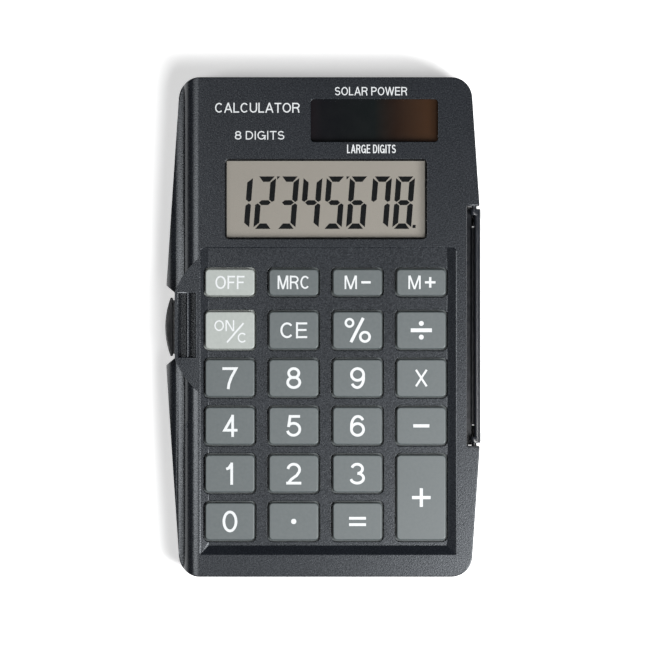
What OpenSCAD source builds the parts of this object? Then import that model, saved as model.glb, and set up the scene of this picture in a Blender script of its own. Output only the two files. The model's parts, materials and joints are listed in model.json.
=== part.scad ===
// Pocket calculator with a hard flip cover folded behind it.
// Lies flat, face up. +X right, +Y toward the display end, +Z up out of the keys. Millimetres.

/* [Body] */
// width of the body across its middle
body_w = 74.13; // [60:0.01:92]
// length of the body
body_l = 118; // [96:0.5:144]
// thickness of the body alone
body_t = 9; // [8.6:0.1:12]
// outer corner radius
corner_r = 5; // [3:0.5:8]
// how much each side leans in, per millimetre of length
side_taper = 0.068; // [0.03:0.001:0.09]
// side wall thickness
wall = 1.5; // [1.2:0.1:2]
// roof thickness under the flat face
roof_t = 1.4; // [1.3:0.1:2]
// back wall thickness
back_t = 1.2; // [1:0.1:1.6]

/* [Left wing and latch] */
// flat face ends this far from the left edge
step_in = 7.88; // [7.5:0.01:10]
// radius of the roll-off from face to wing
roll_r = 3.8; // [3.2:0.1:4.2]
// height of the face above the wing's ridge
ledge_drop = 2.9; // [2.6:0.1:3.4]
// half length of the latch boss along the side
boss_half = 14.05; // [11:0.05:17]
// length of the slot in the boss
slot_l = 15.1; // [12:0.1:18.2]
// width of the slot in the boss
slot_w = 3.9; // [3.2:0.1:4.2]
// length of the finger notch at the outer edge
notch_l = 18.9; // [15:0.1:23]

/* [Cover and hinge] */
// cover plate thickness
cover_t = 1.6; // [1.3:0.1:2]
// gap between the body and the cover, on either side
cover_gap = 0.2; // [0.15:0.05:0.4]
// length of the hinge notch in the right side
hinge_l = 56.8; // [47:0.1:68]
// radius of the cover's hinge knuckles
knuckle_r = 1.75; // [1.6:0.05:2]
// hinge pin radius
pin_r = 0.6; // [0.5:0.05:0.75]
// radial clearance of the hinge pins
pin_clear = 0.05; // [0.03:0.01:0.1]
// thickness of the hinge strip
spine_t = 1.5; // [1.3:0.05:1.6]

/* [Keys] */
// band between the left edge and the key recess
band_left = 8.12; // [8:0.01:11]
// band between the right edge and the key recess
band_right = 5.46; // [4.6:0.01:7]
// depth of the key recess
recess_d = 1.2; // [0.8:0.1:1.5]
// thickness of the recess floor
floor_t = 1.2; // [1:0.1:1.5]
// bar of plastic between neighbouring key holes, across
web_x = 2.61; // [2.4:0.01:3.2]
// bar of plastic between neighbouring key holes, along
web_y = 1.63; // [1.5:0.01:2.2]
// bar of plastic below the top row's holes
web_top = 2.96; // [2.4:0.01:3.6]
// the top row's holes are shorter by this
short_cut = 2.6; // [2:0.1:3]
// gap round each key
key_gap = 0.43; // [0.3:0.01:0.6]
// key tops stand this far over the recess floor
key_rise = 1.0; // [0.6:0.1:1.4]
// key travel
key_travel = 0.8; // [0.5:0.1:0.9]
// width of the hidden flange round each key
flange_w = 0.6; // [0.4:0.05:0.7]

/* [Windows] */
// height of the display opening
lcd_l = 18.88; // [16:0.01:22]
// width of the display opening
lcd_w = 47.7; // [39:0.1:49]
// height of the solar opening
sol_l = 10.03; // [8.4:0.01:12]
// width of the solar opening
sol_w = 30; // [25:0.1:36]
// pane thickness
pane_t = 0.8; // [0.6:0.05:1]

/* [Inside] */
// circuit board thickness
board_t = 1.0; // [0.8:0.1:1.2]
// button cell diameter
cell_d = 11.6; // [10:0.1:12.5]
// button cell thickness
cell_t = 3.1; // [2.5:0.1:3.6]
// rubber dome radius
dome_r = 2.4; // [2:0.1:2.9]
// screw shank radius
screw_r = 0.75; // [0.6:0.05:0.9]

/* [Hidden] */
$fn = 48;
e = 0.01;
lip_out = 0.38;
knuckle_out = 0.61;
all_w = body_w + lip_out + knuckle_out;
xl = -all_w / 2 + lip_out;
xr = all_w / 2 - knuckle_out;
hl = body_l / 2;
lean = sqrt(1 + side_taper * side_taper);

// heights
rim_gap = 0.2;
zb = cover_t + 2 * cover_gap + ledge_drop - rim_gap;
zt = zb + body_t;
fold = (body_t + cover_t + 2 * cover_gap) / 2;
z_b = knuckle_r;
z_a = knuckle_r + fold;
zp = z_a;
z_floor_in = zb + back_t;
z_roof = zt - roof_t;
z_rec = zt - recess_d;
z_slab = z_rec - floor_t;
z_key = z_rec + key_rise;
flange_t = 0.7;
z_flange = z_slab - 0.1 - flange_t;
z_board = zt - 4.7;
mat_t = 0.6;
z_pane = zt - 1;
z_lcd = z_pane - pane_t - 0.05;
film_t = 0.15;
glass_t = 1.1;
z_glass = z_lcd - film_t - glass_t;

// left side
x_step = xl + step_in;
x_ridge = x_step - roll_r - 0.1;
wing_r = 4.2;
z_ridge = zt - ledge_drop;
z_wing = z_ridge - wing_r;
x_flat = xl + 2.13;
y_latch = 0.4;
boss_u = (boss_half * boss_half - 3.85 * 3.85 - 7.85 * 7.85) / 7.7;
boss_cx = x_step - 1.9 + boss_u;
boss_r = sqrt(boss_u * boss_u + boss_half * boss_half);
x_slot = x_flat + 0.95;

// right side
xh = all_w / 2 - knuckle_r;
x_notch = xr - 3.03;
y_hinge = 0.25;
hh = hinge_l / 2;
x_in_notch = x_notch - wall;

// key field
rx0 = xl + band_left;
rx1 = xr - band_right;
rec_w = rx1 - rx0;
slope_l = 2.01;
slope_r = 2.29;
slope_b = 2.14;
ry0 = -hl + 5.26;
ry1 = hl - 5.24 - sol_l - 4.08 - lcd_l - 2.13;
edge_l = 0.84;
edge_r = 2.09;
edge_b = slope_b + 0.87;
edge_t = 4.57;
hole_w = (rec_w - edge_l - edge_r - 3 * web_x) / 4;
pitch_x = hole_w + web_x;
col0 = rx0 + edge_l + hole_w / 2;
hole_l = (ry1 - ry0 - edge_b - edge_t - 4 * web_y - web_top + short_cut) / 6;
short_l = hole_l - short_cut;
pitch_y = hole_l + web_y;
row0 = ry0 + edge_b + hole_l / 2;
row5 = row0 + 4.5 * hole_l + 4 * web_y + web_top + short_l / 2;
hole_r = 1.3;
key_r = 0.9;

// windows
lcd_x = (rx0 + rx1) / 2 - 0.565;
lcd_x1 = lcd_x + lcd_w / 2;
lcd_y0 = ry1 + 2.13;
lcd_y = lcd_y0 + lcd_l / 2;
sol_x1 = rx1 - 4.39;
sol_x = sol_x1 - sol_w / 2;
sol_y = lcd_y0 + lcd_l + 4.08 + sol_l / 2;
pane_lap = 1;
pane_fit = 0.1;
ledge_l = 1.45;
glass_top = lcd_y0 + lcd_l + 1.35;

// button cell
cr = cell_d / 2;
cell_x = x_step + cell_d / 2 + 6.65;
cell_y = hl - 10;
cell_top = z_floor_in + cell_t;
ring_in = cr + 0.3;
ring_out = cr + 1.6;
door_hw = cr + 0.7;
door_x0 = cell_x - cr - 0.7;
door_x1 = cell_x + cr + 6.2;
door_screw_x = cell_x + cr + 3.7;
shelf_t = 2.2;

// board and screws
board_top = cell_y - ring_out - 0.9;
board_y0 = -hl + 2.6;
case_head_r = 1.6;
col_r = 2;
cs_x = [x_step + 0.7, xr - 5.75, x_step - 0.2, xr - 6.65];
cs_y = [hl - 5.4, hl - 5, -hl + 4.8, -hl + 4.8];
bs_x = [col0 + pitch_x / 2, col0 + 2.5 * pitch_x, col0 + pitch_x / 2, col0 + 2.5 * pitch_x, x_step - 1.6];
bs_y = [ry1 - 1.75, ry1 - 1.75, ry0 - 0.9, ry0 - 0.9, row0 + 2 * pitch_y];
boss_or = 1.6;

function col_x(c) = col0 + c * pitch_x;
function row_y(r) = r == 5 ? row5 : row0 + r * pitch_y;
function row_l(r) = r == 5 ? short_l : hole_l;
function roll_in_z(x, r) = (zt - roll_r) + sqrt(r * r - (x - x_step) * (x - x_step));

// rounded rectangle from its two corners
module rr(x0, y0, x1, y1, r) {
  translate([x0 + r, y0]) square([x1 - x0 - 2 * r, y1 - y0]);
  translate([x0, y0 + r]) square([x1 - x0, y1 - y0 - 2 * r]);
  for (x = [x0 + r, x1 - r]) for (y = [y0 + r, y1 - r]) translate([x, y]) circle(r);
}
// block from its two corners
module box(a, b) {
  translate(a) cube([b[0] - a[0], b[1] - a[1], b[2] - a[2]]);
}
// rod along y
module rod_y(x, z, r, y0, y1) {
  translate([x, y1, z]) rotate([90, 0, 0]) cylinder(r = r, h = y1 - y0);
}
// rod along x
module rod_x(y, z, r, x0, x1) {
  translate([x0, y, z]) rotate([0, 90, 0]) cylinder(r = r, h = x1 - x0);
}
// rod along z
module rod_z(x, y, r, z0, z1) {
  translate([x, y, z0]) cylinder(r = r, h = z1 - z0);
}

// body outline, moved in by i; the sides are straight at mid length, then lean in to rounded corners
module side_poly(xm, ym, i) {
  r = max(corner_r - i, 0.8);
  h = hl - i;
  m = xm - i;
  yj = ym - i * (lean - 1) / side_taper;
  cx = m - side_taper * (h - r - yj) - r * lean;
  tx = cx + r / lean;
  ty = h - r + r * side_taper / lean;
  polygon([[0, -h], [cx, -h], [tx, -ty], [m, -yj], [m, yj], [tx, ty], [cx, h], [0, h]]);
  for (s = [-1, 1]) translate([cx, s * (h - r)]) circle(r);
}
module outline(i) {
  side_poly(xr, hh + 0.3, i);
  mirror([1, 0]) side_poly(-xl, notch_l / 2, i);
}
// finger notch in the left edge, grown by g
module finger_notch(g) {
  y = notch_l / 2 + g;
  translate([0, y_latch]) polygon([[xl - 3, -y - 1.6], [xl, -y], [x_flat + g, -y + 1.75],
    [x_flat + g, y - 1.75], [xl, y], [xl - 3, y + 1.6]]);
}
module hinge_notch(g) {
  translate([x_notch - g, y_hinge - hh - g]) square([12, hinge_l + 2 * g]);
}
// room inside the walls, moved in by a further i
module room(i) {
  difference() {
    outline(wall + i);
    finger_notch(wall + i);
    hinge_notch(wall + i);
  }
}

// the left side's stepped section, t thinner all round
module left_section(t) {
  intersection() {
    union() {
      translate([x_step, zp - 1]) square([all_w, zt - t - zp + 1]);
      translate([x_ridge, zp - 1]) square([roll_r + 1, z_ridge - t - zp + 1]);
      translate([x_step, zt - roll_r]) circle(roll_r - t, $fn = 96);
      translate([x_ridge, z_wing]) circle(wing_r - t, $fn = 96);
    }
    translate([x_ridge - wing_r - 1, zp - 1]) square([all_w + 8, body_t + 2]);
  }
}
module section_solid(t) {
  translate([0, hl + 1, 0]) rotate([90, 0, 0]) linear_extrude(body_l + 2) left_section(t);
}
module latch_plan(i) {
  intersection() {
    translate([boss_cx, y_latch]) circle(boss_r - i, $fn = 160);
    translate([x_flat + i, y_latch - 20]) square([x_step - x_flat + 1 - i, 40]);
  }
}
module key_hole(c, r, l, g) {
  translate([0, 0, z_slab - 1]) linear_extrude(recess_d + floor_t + 2)
    rr(col_x(c) - hole_w / 2 - g, r - l / 2 - g, col_x(c) + hole_w / 2 + g, r + l / 2 + g, hole_r + g);
}
module recess_cut() {
  intersection() {
    translate([0, hl, 0]) rotate([90, 0, 0]) linear_extrude(body_l)
      polygon([[rx0 - e, zt + e], [rx0 + slope_l, z_rec], [rx1 - slope_r, z_rec], [rx1 + e, zt + e],
        [rx1 + e, zt + 1], [rx0 - e, zt + 1]]);
    translate([rx0 - 1, 0, 0]) rotate([90, 0, 90]) linear_extrude(rec_w + 2)
      polygon([[ry0 - e, zt + e], [ry0 + slope_b, z_rec], [ry1, z_rec], [ry1, zt + 1], [ry0 - e, zt + 1]]);
    translate([0, 0, z_rec - 1]) linear_extrude(4) rr(rx0 - 0.2, ry0 - 0.2, rx1 + 0.2, ry1, 1.6);
  }
}
module pane_plan(cx, cy, w, l, g) {
  rr(cx - w / 2 - pane_lap - g, cy - l / 2 - pane_lap - g, cx + w / 2 + pane_lap + g,
    cy + l / 2 + pane_lap + g, 1.2);
}
module front_housing() {
  color([0.2, 0.2, 0.225]) difference() {
    union() {
      difference() {
        union() {
          intersection() {
            translate([0, 0, zp]) linear_extrude(zt - zp) outline(0);
            section_solid(0);
          }
          translate([0, 0, zp]) linear_extrude(zt - zp) latch_plan(0);
        }
        intersection() {
          translate([0, 0, zp - 1]) linear_extrude(z_roof - zp + 1) room(0);
          section_solid(1.2);
        }
      }
      // slab under the key recess
      box([rx0 - 1, ry0 - 1, z_slab], [rx1 + 0.9, ry1 + 0.45, z_roof + 0.2]);
      // well round the latch slot
      box([x_flat + 0.1, y_latch - slot_l / 2 - 1, z_board + 0.2],
        [x_slot + slot_w + 0.9, y_latch + slot_l / 2 + 1, z_roof + 0.2]);
      // solid ends of the hinge notch hold the pins
      for (s = [-1, 1]) translate([0, y_hinge, 0])
        box([x_in_notch - 0.1, s > 0 ? hh : -hh - 3, zp], [xr - 0.9, s > 0 ? hh + 3 : -hh, z_roof + 0.1]);
      for (k = [0:3]) rod_z(cs_x[k], cs_y[k], col_r, zp + 1.3, z_roof + 0.1);
      for (k = [0:3]) rod_z(bs_x[k], bs_y[k], boss_or, z_board, z_roof + 0.1);
      rod_z(bs_x[4], bs_y[4], boss_or, z_board, roll_in_z(bs_x[4], roll_r - 0.7));
      // ribs that hold the display
      for (s = [-1, 1])
        translate([lcd_x + s * (lcd_w / 2 + 2.1), 0, 0])
          box([-0.4, lcd_y0 + 1, z_glass], [0.4, glass_top - 1, z_roof + 0.1]);
    }
    recess_cut();
    for (c = [0:3]) for (r = [0:4]) if (c < 3 || r > 1) key_hole(c, row_y(r), hole_l, 0);
    for (c = [0:3]) key_hole(c, row5, short_l, 0);
    key_hole(3, (row_y(0) + row_y(1)) / 2, hole_l + pitch_y, 0);
    // openings and the seats of their panes
    translate([0, 0, z_roof - 3]) linear_extrude(8)
      rr(lcd_x - lcd_w / 2, lcd_y0, lcd_x1, lcd_y0 + lcd_l, 1.1);
    translate([0, 0, z_roof - 3]) linear_extrude(8)
      rr(sol_x - sol_w / 2, sol_y - sol_l / 2, sol_x1, sol_y + sol_l / 2, 0.8);
    translate([0, 0, z_roof - 0.5]) linear_extrude(z_pane - z_roof + 0.5)
      pane_plan(lcd_x, lcd_y, lcd_w, lcd_l, pane_fit);
    translate([0, 0, z_roof - 0.5]) linear_extrude(z_pane - z_roof + 0.5)
      pane_plan(sol_x, sol_y, sol_w, sol_l, pane_fit);
    // latch slot, finger notch and hinge notch
    difference() {
      box([x_slot, y_latch - slot_l / 2, z_board + 1.2], [x_slot + slot_w, y_latch + slot_l / 2, zt + 1]);
      rod_y(x_slot + 2.15, zt - 1.4, 0.45, y_latch - slot_l / 2 - 1, y_latch + slot_l / 2 + 1);
    }
    translate([0, 0, zp - 1]) linear_extrude(body_t + 2) finger_notch(0);
    translate([0, 0, zp - 1]) linear_extrude(body_t + 2) hinge_notch(0);
    rod_y(xh, z_a, pin_r + pin_clear, y_hinge - hh - 2.2, y_hinge + hh + 2.2);
    // pilot holes
    for (k = [0:3]) rod_z(cs_x[k], cs_y[k], screw_r + 0.05, zp, z_roof - 0.6);
    for (k = [0:4]) rod_z(bs_x[k], bs_y[k], screw_r - 0.05, z_board - 1, z_board + 2.1);
  }
}

module door_plan(g) {
  translate([door_x0 - g, cell_y - door_hw - g]) square([door_x1 - door_x0 + 2 * g, 2 * door_hw + 2 * g]);
}
module rear_housing() {
  color([0.17, 0.17, 0.19]) difference() {
    union() {
      difference() {
        translate([0, 0, zb]) linear_extrude(zp - zb) outline(0);
        translate([0, 0, z_floor_in]) linear_extrude(zp) room(0);
      }
      // tongue that locates in the front housing
      translate([0, 0, z_floor_in - e]) linear_extrude(zp + 0.65 - z_floor_in) difference() {
        room(0.1);
        room(0.9);
        translate([x_in_notch - 1.2, y_hinge - hh - 3.2]) square([12, hinge_l + 6.4]);
      }
      for (s = [-1, 1]) translate([0, y_hinge, 0])
        box([x_in_notch - 0.1, s > 0 ? hh : -hh - 3, z_floor_in - e], [xr - 0.9, s > 0 ? hh + 3 : -hh, zp]);
      for (k = [0:3]) rod_z(cs_x[k], cs_y[k], col_r, z_floor_in - e, zp + 1.25);
      translate([cell_x, cell_y, z_floor_in - e]) cylinder(r = ring_out, h = cell_t - 0.2, $fn = 96);
      // shelf that takes the door screw
      box([cell_x + cr + 1, cell_y - door_hw - 1.2, z_floor_in - e],
        [door_x1 + 1.2, cell_y + door_hw + 1.2, z_floor_in + shelf_t]);
    }
    translate([cell_x, cell_y, z_floor_in - 1]) cylinder(r = ring_in, h = cell_t + 3, $fn = 96);
    translate([0, 0, zb - 1]) linear_extrude(back_t + 1) door_plan(0.1);
    // room for the door's tab and for the side contact
    box([door_x0 - 1.6, cell_y - 3.1, z_floor_in - e], [cell_x, cell_y + 3.1, z_floor_in + 0.8]);
    box([cell_x - 2.6, cell_y - ring_out - 1, z_floor_in - e], [cell_x + 2.6, cell_y, cell_top + 1]);
    rod_z(door_screw_x, cell_y, screw_r - 0.05, zb, z_floor_in + shelf_t - 0.5);
    for (k = [0:3]) {
      rod_z(cs_x[k], cs_y[k], case_head_r + 0.2, zb - 1, zb + 1);
      rod_z(cs_x[k], cs_y[k], screw_r + 0.15, zb, z_a + 3);
    }
    translate([0, 0, zb - 1]) linear_extrude(body_t + 2) finger_notch(0);
    translate([0, 0, zb - 1]) linear_extrude(body_t + 2) hinge_notch(0);
    rod_y(xh, z_a, pin_r + pin_clear, y_hinge - hh - 2.2, y_hinge + hh + 2.2);
  }
}

plate_edge = 0.41;
module cover_plan() {
  difference() {
    intersection() {
      outline(0.35);
      translate([x_flat + 0.25, -hl]) square([all_w, body_l]);
    }
    translate([xh - plate_edge, y_hinge - hh - 1]) square([9, hinge_l + 2]);
    // the corners stay clear of the body's edge when the spine stands up
    for (s = [-1, 1]) translate([2 * xh - xr - 0.18, y_hinge + (s > 0 ? hh - 0.1 : -body_l)])
      square([9, body_l - hh + 0.1]);
  }
}
module lip_plan() {
  lens = (49 + 1.26 * 1.26) / (2 * 1.26);
  intersection() {
    translate([xl - lip_out + lens, y_latch - 0.38]) circle(lens, $fn = 160);
    rr(xl - 1, y_latch - 7.36, x_flat - 0.65, y_latch + 6.6, 0.4);
  }
}
cover_top = zb - cover_gap;
cover_low = cover_top - cover_t;
ear_out = hh - 0.75;
ear_in = ear_out - 2.3;
module cover() {
  color([0.07, 0.075, 0.09]) difference() {
    union() {
      translate([0, 0, cover_low]) linear_extrude(cover_t) cover_plan();
      translate([0, 0, cover_low]) linear_extrude(cover_t) lip_plan();
      box([x_flat - 0.9, y_latch - 6.8, cover_low], [x_flat + 1, y_latch + 6, cover_low + 1]);
      // rim that drops over the wing when the cover is shut
      intersection() {
        translate([0, 0, 0]) linear_extrude(cover_low + e) outline(0.35);
        union() for (s = [-1, 1])
          box([x_flat + 0.25, s > 0 ? y_latch + boss_half + 0.9 : -hl + 9, 0],
            [x_step - roll_r, s > 0 ? hl - 9 : y_latch - boss_half - 0.9, cover_low + e]);
      }
      // catch that drops into the latch slot
      box([x_slot + 0.15, y_latch - 5, rim_gap], [x_slot + 1.35, y_latch + 5, cover_low + e]);
      // knuckles at both ends of the hinge strip
      translate([0, y_hinge, 0]) for (s = [-1, 1]) {
        rod_y(xh, z_b, knuckle_r, s > 0 ? ear_in : -ear_out, s > 0 ? ear_out : -ear_in);
        box([xh - knuckle_r, s > 0 ? ear_in : -ear_out, z_b],
          [xh - plate_edge, s > 0 ? ear_out : -ear_in, cover_top]);
        box([xh - knuckle_r - 1, s > 0 ? ear_in : -hh + 0.1, cover_low],
          [xh - plate_edge, s > 0 ? hh - 0.1 : -ear_in, cover_top]);
      }
    }
    translate([0, y_hinge, 0]) rod_y(xh, z_b, pin_r + pin_clear, -ear_out + 0.5, ear_out - 0.5);
  }
}
module spine_section(low, high) {
  translate([xh + 0.03, low]) square([spine_t, high - low]);
}
module hinge_spine() {
  a_end = hh - 0.65;
  b_end = ear_in - 0.12;
  r = spine_t / 2;
  color([0.07, 0.075, 0.09]) translate([0, y_hinge, 0]) {
    box([xh + 0.03, -a_end, z_b + knuckle_r + 0.4], [xh + 0.03 + spine_t, a_end, z_a]);
    box([xh + 0.03, -b_end, z_b], [xh + 0.03 + spine_t, b_end, z_b + knuckle_r + 0.5]);
    rod_y(xh + 0.03 + r, z_a, r, -a_end, a_end);
    rod_y(xh + 0.03 + r, z_b, r, -b_end, b_end);
    for (s = [-1, 1]) {
      rod_y(xh, z_a, 1, s > 0 ? a_end - 1.5 : -a_end, s > 0 ? a_end : -a_end + 1.5);
      rod_y(xh, z_b, 1, s > 0 ? b_end - 1.5 : -b_end, s > 0 ? b_end : -b_end + 1.5);
      rod_y(xh, z_a, pin_r, s > 0 ? a_end - 0.5 : -hh - 2, s > 0 ? hh + 2 : -a_end + 0.5);
      rod_y(xh, z_b, pin_r, s > 0 ? b_end - 0.5 : -ear_out + 0.7, s > 0 ? ear_out - 0.7 : -b_end + 0.5);
    }
  }
}

module display_window() {
  color([0.85, 0.88, 0.88, 0.35]) translate([0, 0, z_pane - pane_t]) linear_extrude(pane_t)
    pane_plan(lcd_x, lcd_y, lcd_w, lcd_l, 0);
}
module solar_window() {
  color([0.85, 0.88, 0.88, 0.35]) translate([0, 0, z_pane - pane_t]) linear_extrude(pane_t)
    pane_plan(sol_x, sol_y, sol_w, sol_l, 0);
}
module lcd_polariser() {
  color([0.66, 0.63, 0.58]) box([lcd_x - lcd_w / 2 - 1.2, lcd_y0 - 0.5, z_lcd - film_t],
    [lcd_x1 + 1.2, glass_top - 0.3, z_lcd]);
}
module lcd_glass() {
  color([0.7, 0.72, 0.68]) box([lcd_x - lcd_w / 2 - 1.5, lcd_y0 - ledge_l, z_glass],
    [lcd_x1 + 1.5, glass_top, z_glass + glass_t]);
}
module lcd_reflector() {
  color([0.62, 0.62, 0.6]) box([lcd_x - lcd_w / 2 - 1.2, lcd_y0 + 0.2, z_glass - film_t],
    [lcd_x1 + 1.2, glass_top - 0.3, z_glass]);
}
module zebra_strip() {
  color([0.35, 0.3, 0.3]) box([lcd_x - lcd_w / 2, lcd_y0 - ledge_l + 0.1, z_board],
    [lcd_x1, lcd_y0 - 0.1, z_glass]);
}
sol_top = z_pane - pane_t - 0.05;
module solar_cell() {
  color([0.16, 0.11, 0.09]) box([sol_x - sol_w / 2 - 1.5, sol_y - sol_l / 2 - 1.2, sol_top - 1.1],
    [sol_x1 + 1.5, sol_y + sol_l / 2 + 1.2, sol_top]);
}
wire_r = 0.35;
module wire(x) {
  zw = z_board + wire_r + 0.5;
  y0 = board_top - 1.2;
  y1 = sol_y - sol_l / 2;
  rod_z(x, y1, wire_r, zw, sol_top - 1.1);
  rod_y(x, zw, wire_r, y0 - wire_r, y1 + wire_r);
  rod_z(x, y0, wire_r, z_board, zw);
}
module solar_wire_red() {
  color([0.6, 0.08, 0.06]) wire(sol_x - sol_w / 2 + 0.6);
}
module solar_wire_black() {
  color([0.08, 0.08, 0.08]) wire(sol_x - sol_w / 2 + 2.4);
}

module board_plan() {
  difference() {
    intersection() {
      outline(wall + 1.1);
      translate([x_step - 3.1, board_y0]) square([x_in_notch - 0.3 - x_step + 3.1, board_top - board_y0]);
    }
    for (k = [0:3]) translate([cs_x[k], cs_y[k]]) circle(col_r + 0.4);
    // no slivers outside the lower columns
    translate([cs_x[3], -body_l]) square([12, body_l + cs_y[3]]);
    translate([cs_x[2] - 12, -body_l]) square([12, body_l + cs_y[2]]);
    translate([xl - 1, y_latch - slot_l / 2 - 1.6]) square([x_slot + slot_w + 1.5 - xl + 1, slot_l + 3.2]);
  }
}
module circuit_board() {
  color([0.12, 0.33, 0.16]) difference() {
    translate([0, 0, z_board - board_t]) linear_extrude(board_t) board_plan();
    for (k = [0:4]) rod_z(bs_x[k], bs_y[k], screw_r + 0.15, z_board - board_t - 1, z_board + 1);
  }
}
blob_h = min(0.9, z_board - board_t - z_floor_in - 0.2);
module chip_blob() {
  color([0.03, 0.03, 0.03]) translate([lcd_x, lcd_y, z_board - board_t]) rotate([180, 0, 0])
    rotate_extrude($fn = 64) intersection() {
      translate([0, blob_h - 16.5]) circle(16.5, $fn = 160);
      square([7, 2]);
    }
}
cap_x = sol_x + 2;
cap_y0 = board_top + 1.6;
cap_z = z_board - 0.8;
module capacitor() {
  color([0.12, 0.14, 0.3]) {
    rod_y(cap_x, cap_z, 2, cap_y0, cap_y0 + 7);
    for (s = [-1, 1]) rod_y(cap_x + s, z_board + 0.25, 0.24, board_top - 1.5, cap_y0 + 1);
  }
}
module clamp_diode() {
  x = lcd_x - lcd_w / 4;
  y = board_top - 3.6;
  z = z_board + 0.66;
  color([0.7, 0.3, 0.15]) {
    rod_x(y, z, 0.62, x - 1.6, x + 1.6);
    rod_x(y, z, 0.22, x - 3, x + 3);
    for (s = [-1, 1]) rod_z(x + s * 2.8, y, 0.22, z_board, z + 0.2);
  }
}
// silicone mat: one dome under each key
module dome(x, y) {
  h = z_flange - z_board - mat_t;
  translate([x, y, z_board + mat_t - e]) rotate_extrude($fn = 32)
    polygon([[0, 0.55], [0, h], [dome_r - 1, h], [dome_r - 0.8, 0.45], [dome_r, e], [dome_r, 0],
      [dome_r - 0.6, 0], [dome_r - 1.1, 0.3], [dome_r - 1.3, 0.55]]);
}
module rubber_keypad() {
  color([0.75, 0.75, 0.72]) difference() {
    union() {
      translate([0, 0, z_board]) linear_extrude(mat_t)
        rr(col0 - hole_w / 2 - 0.4, row0 - hole_l / 2 - 0.6, col_x(3) + hole_w / 2 + 0.4, row5 + short_l / 2 + 0.6, 1);
      for (c = [0:3]) for (r = [0:5]) if (c < 3 || r > 1) dome(col_x(c), row_y(r));
      dome(col_x(3), (row_y(0) + row_y(1)) / 2);
    }
    for (c = [0:3]) for (r = [0:5]) if (c < 3 || r > 1)
      rod_z(col_x(c), row_y(r), dome_r - 0.6, z_board - 1, z_board + mat_t);
    rod_z(col_x(3), (row_y(0) + row_y(1)) / 2, dome_r - 0.6, z_board - 1, z_board + mat_t);
  }
}

module button_cell() {
  color([0.75, 0.75, 0.73]) translate([cell_x, cell_y, z_floor_in]) {
    cylinder(r = cr, h = cell_t - 0.5, $fn = 96);
    cylinder(r = cr - 0.9, h = cell_t, $fn = 96);
  }
}
strip_t = 0.25;
module contact_plus() {
  y1 = cell_y - cr;
  color([0.72, 0.66, 0.45]) {
    box([cell_x - 1.8, y1 - strip_t, z_floor_in + 0.4], [cell_x + 1.8, y1, max(cell_top, z_board) + strip_t]);
    box([cell_x - 1.8, board_top - 2.5, z_board], [cell_x + 1.8, y1, z_board + strip_t]);
  }
}
module contact_minus() {
  x0 = cell_x + 4;
  yr = board_top + 0.5;
  color([0.72, 0.66, 0.45]) {
    box([x0, board_top - 2.5, z_board], [x0 + 2, yr, z_board + strip_t]);
    box([x0, yr - strip_t, min(cell_top, z_board)], [x0 + 2, yr, max(cell_top, z_board) + strip_t]);
    box([x0, yr - strip_t, cell_top], [x0 + 2, cell_y + 1, cell_top + strip_t]);
    box([cell_x - 1.5, cell_y - 1, cell_top], [x0 + 2, cell_y + 1, cell_top + strip_t]);
  }
}
module battery_door() {
  color([0.17, 0.17, 0.19]) difference() {
    union() {
      translate([0, 0, zb]) linear_extrude(back_t - 0.02) door_plan(0);
      box([door_x0 - 1.2, cell_y - 3, z_floor_in + 0.05], [door_x0 + 0.3, cell_y + 3, z_floor_in + 0.65]);
      box([door_x0, cell_y - 3, zb + 0.4], [door_x0 + 0.3, cell_y + 3, z_floor_in + 0.65]);
    }
    rod_z(door_screw_x, cell_y, 1.5, zb - 1, zb + 0.75);
    rod_z(door_screw_x, cell_y, screw_r + 0.15, zb, zb + 3);
  }
}

// pan-head screw pointing up from z: head of radius hr and height hh_, shank to z_end, cross slot
module screw(x, y, z, hr, head, z_end, r) {
  color([0.6, 0.6, 0.62]) difference() {
    union() {
      rod_z(x, y, hr, z, z + head);
      rod_z(x, y, r, z, z_end);
    }
    box([x - hr * 0.6, y - 0.18, z - 1], [x + hr * 0.6, y + 0.18, z + head * 0.55]);
    box([x - 0.18, y - hr * 0.6, z - 1], [x + 0.18, y + hr * 0.6, z + head * 0.55]);
  }
}
module case_screw(k) {
  screw(cs_x[k], cs_y[k], zb + 0.2, case_head_r, 0.8, z_roof - 1, screw_r);
}
module board_screw(k) {
  screw(bs_x[k], bs_y[k], z_board - board_t - 0.7, 1.4, 0.7, z_board + 1.9, screw_r - 0.1);
}
module battery_door_screw() {
  screw(door_screw_x, cell_y, zb + 0.15, 1.35, 0.6, z_floor_in + shelf_t - 0.7, screw_r - 0.1);
}

// key: cap through the hole, hidden flange, hollow below with a post over the dome
module key(c, y, l, tint) {
  x = col_x(c);
  w = hole_w / 2 - key_gap;
  h = l / 2 - key_gap;
  f = flange_w + key_gap;
  color(tint) {
    difference() {
      union() {
        translate([0, 0, z_flange]) linear_extrude(z_key - z_flange) rr(x - w, y - h, x + w, y + h, key_r);
        translate([0, 0, z_flange]) linear_extrude(flange_t) rr(x - w - f, y - h - f, x + w + f, y + h + f, 0.6);
      }
      translate([0, 0, z_flange - 1]) linear_extrude(z_key - z_flange - 0.1)
        rr(x - w + 1, y - h + 1, x + w - 1, y + h - 1, 0.4);
    }
    rod_z(x, y, min(dome_r - 1.1, h - 1.2), z_flange, z_key - 0.5);
  }
}
grey = [0.44, 0.48, 0.49];
pale = [0.74, 0.78, 0.75];
module key_off() { key(0, row5, short_l, pale); }
module key_mrc() { key(1, row5, short_l, grey); }
module key_m_minus() { key(2, row5, short_l, grey); }
module key_m_plus() { key(3, row5, short_l, grey); }
module key_on_c() { key(0, row_y(4), hole_l, pale); }
module key_ce() { key(1, row_y(4), hole_l, grey); }
module key_percent() { key(2, row_y(4), hole_l, grey); }
module key_divide() { key(3, row_y(4), hole_l, grey); }
module key_7() { key(0, row_y(3), hole_l, grey); }
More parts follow.
